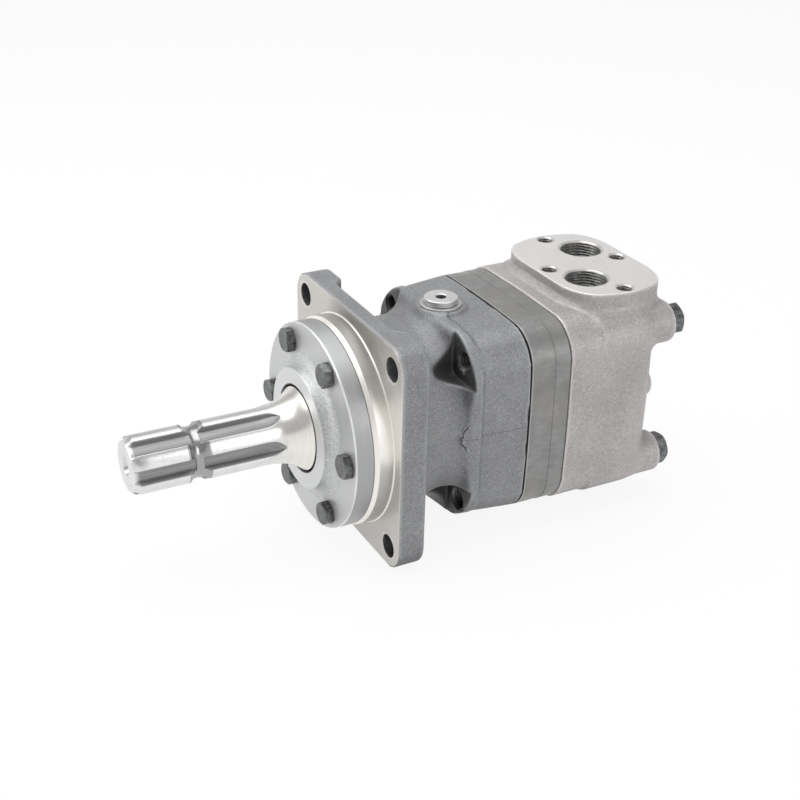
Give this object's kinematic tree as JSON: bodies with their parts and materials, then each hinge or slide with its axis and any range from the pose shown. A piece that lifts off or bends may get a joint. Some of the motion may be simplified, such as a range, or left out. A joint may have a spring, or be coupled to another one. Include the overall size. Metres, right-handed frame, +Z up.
{
  "type": "orbital hydraulic motor",
  "caption": "Low-speed hydraulic motor with a square flange, splined output shaft, roller gear set, disc valve and two threaded ports on top.",
  "frame": {"origin": "on the shaft axis, in the front face of the mounting flange", "axes": "+Y runs along the shaft axis to the rear, away from the shaft end; +Z points up, out of the port face; +X is to the right of someone who looks at the shaft end"},
  "size_m": [0.14, 0.335, 0.141],
  "materials": {
    "cast_body": "bare fine casting, machined on the mating faces",
    "cast_cover": "turned face and rim, fine casting between them",
    "cast_end": "bare fine casting with a milled port face",
    "machined_plate": "fine turned and ground",
    "polished_shaft": "ground and polished",
    "dark_bolt": "blackened, worn at the corners",
    "zinc": "bright zinc",
    "black_rubber": "matte",
    "brown_rubber": "matte",
    "ground_steel": "ground",
    "pressed_cage": "pressed sheet",
    "drive_steel": "hardened and shot",
    "valve_iron": "lapped"
  },
  "bodies": {
    "motor_body": {"housing": "cast_body", "front_cover": "cast_cover", "cover_bolts": "dark_bolt", "cover_seal_ring": "black_rubber", "dust_seal": "black_rubber", "shaft_seal": "brown_rubber", "bearing_shim": "ground_steel", "front_bearing_cup": "ground_steel", "rear_bearing_cup": "ground_steel", "gear_ring": "machined_plate", "channel_plate": "machined_plate", "balance_plate": "valve_iron", "balance_seal_rings": "black_rubber", "balance_spring": "drive_steel", "end_cover": "cast_end", "joint_seal_rings": "black_rubber", "rear_bolts": "dark_bolt", "drain_plug": "zinc", "drain_washer": "zinc", "check_plugs": "dark_bolt"},
    "shaft": {"output_shaft": "polished_shaft", "front_bearing_cone": "ground_steel", "rear_bearing_cone": "ground_steel"},
    "front_roller_row": {"front_bearing_rollers": "ground_steel", "front_bearing_cage": "pressed_cage"},
    "rear_roller_row": {"rear_bearing_rollers": "ground_steel", "rear_bearing_cage": "pressed_cage"},
    "orbit": {"drive_spacer": "ground_steel"},
    "star": {"star_wheel": "ground_steel"},
    "cardan": {"cardan_shaft": "drive_steel"},
    "valve_link": {"valve_drive": "drive_steel"},
    "valve_disc": {"disc_valve": "valve_iron"},
    "left_ball": {"check_ball_left": "ground_steel"},
    "right_ball": {"check_ball_right": "ground_steel"},
    "roller_1": {"gear_roller_1": "ground_steel"},
    "roller_2": {"gear_roller_2": "ground_steel"},
    "roller_3": {"gear_roller_3": "ground_steel"},
    "roller_4": {"gear_roller_4": "ground_steel"},
    "roller_5": {"gear_roller_5": "ground_steel"},
    "roller_6": {"gear_roller_6": "ground_steel"},
    "roller_7": {"gear_roller_7": "ground_steel"},
    "roller_8": {"gear_roller_8": "ground_steel"},
    "roller_9": {"gear_roller_9": "ground_steel"}
  },
  "joints": [
    {"name": "shaft_spin", "type": "hinge", "parent": "motor_body", "child": "shaft", "pos_m": [0, 0, 0], "axis": [0, 1, 0], "continuous": true},
    {"name": "front_row_spin", "type": "hinge", "parent": "motor_body", "child": "front_roller_row", "pos_m": [0, 0.0099, 0], "axis": [0, 1, 0], "continuous": true},
    {"name": "rear_row_spin", "type": "hinge", "parent": "motor_body", "child": "rear_roller_row", "pos_m": [0, 0.0459, 0], "axis": [0, 1, 0], "continuous": true},
    {"name": "orbit_turn", "type": "hinge", "parent": "motor_body", "child": "orbit", "pos_m": [0, 0.0886, 0], "axis": [0, 1, 0], "continuous": true},
    {"name": "star_spin", "type": "hinge", "parent": "orbit", "child": "star", "pos_m": [0.00275, 0.0886, 0], "axis": [0, 1, 0], "continuous": true},
    {"name": "cardan_spin", "type": "hinge", "parent": "orbit", "child": "cardan", "pos_m": [0, 0.0319, 0], "axis": [0.0453, 0.999, 0], "continuous": true},
    {"name": "valve_link_spin", "type": "hinge", "parent": "orbit", "child": "valve_link", "pos_m": [0, 0.1335, 0], "axis": [-0.086, 0.9963, 0], "continuous": true},
    {"name": "valve_disc_spin", "type": "hinge", "parent": "motor_body", "child": "valve_disc", "pos_m": [0, 0.1156, 0], "axis": [0, 1, 0], "continuous": true},
    {"name": "roller_1_spin", "type": "hinge", "parent": "motor_body", "child": "roller_1", "pos_m": [0.03064, 0.0886, 0.02571], "axis": [0, 1, 0], "continuous": true},
    {"name": "roller_2_spin", "type": "hinge", "parent": "motor_body", "child": "roller_2", "pos_m": [0.00695, 0.0886, 0.03939], "axis": [0, 1, 0], "continuous": true},
    {"name": "roller_3_spin", "type": "hinge", "parent": "motor_body", "child": "roller_3", "pos_m": [-0.02, 0.0886, 0.03464], "axis": [0, 1, 0], "continuous": true},
    {"name": "roller_4_spin", "type": "hinge", "parent": "motor_body", "child": "roller_4", "pos_m": [-0.03759, 0.0886, 0.01368], "axis": [0, 1, 0], "continuous": true},
    {"name": "roller_5_spin", "type": "hinge", "parent": "motor_body", "child": "roller_5", "pos_m": [-0.03759, 0.0886, -0.01368], "axis": [0, 1, 0], "continuous": true},
    {"name": "roller_6_spin", "type": "hinge", "parent": "motor_body", "child": "roller_6", "pos_m": [-0.02, 0.0886, -0.03464], "axis": [0, 1, 0], "continuous": true},
    {"name": "roller_7_spin", "type": "hinge", "parent": "motor_body", "child": "roller_7", "pos_m": [0.00695, 0.0886, -0.03939], "axis": [0, 1, 0], "continuous": true},
    {"name": "roller_8_spin", "type": "hinge", "parent": "motor_body", "child": "roller_8", "pos_m": [0.03064, 0.0886, -0.02571], "axis": [0, 1, 0], "continuous": true},
    {"name": "roller_9_spin", "type": "hinge", "parent": "motor_body", "child": "roller_9", "pos_m": [0.04, 0.0886, 0], "axis": [0, 1, 0], "continuous": true},
    {"name": "left_ball_lift", "type": "slide", "parent": "motor_body", "child": "left_ball", "axis": [0, 1, 0], "range_m": [0, 0.0012]},
    {"name": "right_ball_lift", "type": "slide", "parent": "motor_body", "child": "right_ball", "axis": [0, 1, 0], "range_m": [0, 0.0012]}
  ],
  "couplings": [
    {"joint": "front_row_spin", "follows": "shaft_spin", "ratio": 0.444},
    {"joint": "rear_row_spin", "follows": "shaft_spin", "ratio": 0.4394},
    {"joint": "orbit_turn", "follows": "shaft_spin", "ratio": -8},
    {"joint": "star_spin", "follows": "shaft_spin", "ratio": 9},
    {"joint": "cardan_spin", "follows": "shaft_spin", "ratio": 9},
    {"joint": "valve_link_spin", "follows": "shaft_spin", "ratio": 9},
    {"joint": "valve_disc_spin", "follows": "shaft_spin", "ratio": 1},
    {"joint": "roller_1_spin", "follows": "shaft_spin", "ratio": -3.7},
    {"joint": "roller_2_spin", "follows": "shaft_spin", "ratio": -3.7},
    {"joint": "roller_3_spin", "follows": "shaft_spin", "ratio": -3.7},
    {"joint": "roller_4_spin", "follows": "shaft_spin", "ratio": -3.7},
    {"joint": "roller_5_spin", "follows": "shaft_spin", "ratio": -3.7},
    {"joint": "roller_6_spin", "follows": "shaft_spin", "ratio": -3.7},
    {"joint": "roller_7_spin", "follows": "shaft_spin", "ratio": -3.7},
    {"joint": "roller_8_spin", "follows": "shaft_spin", "ratio": -3.7},
    {"joint": "roller_9_spin", "follows": "shaft_spin", "ratio": -3.7}
  ]
}
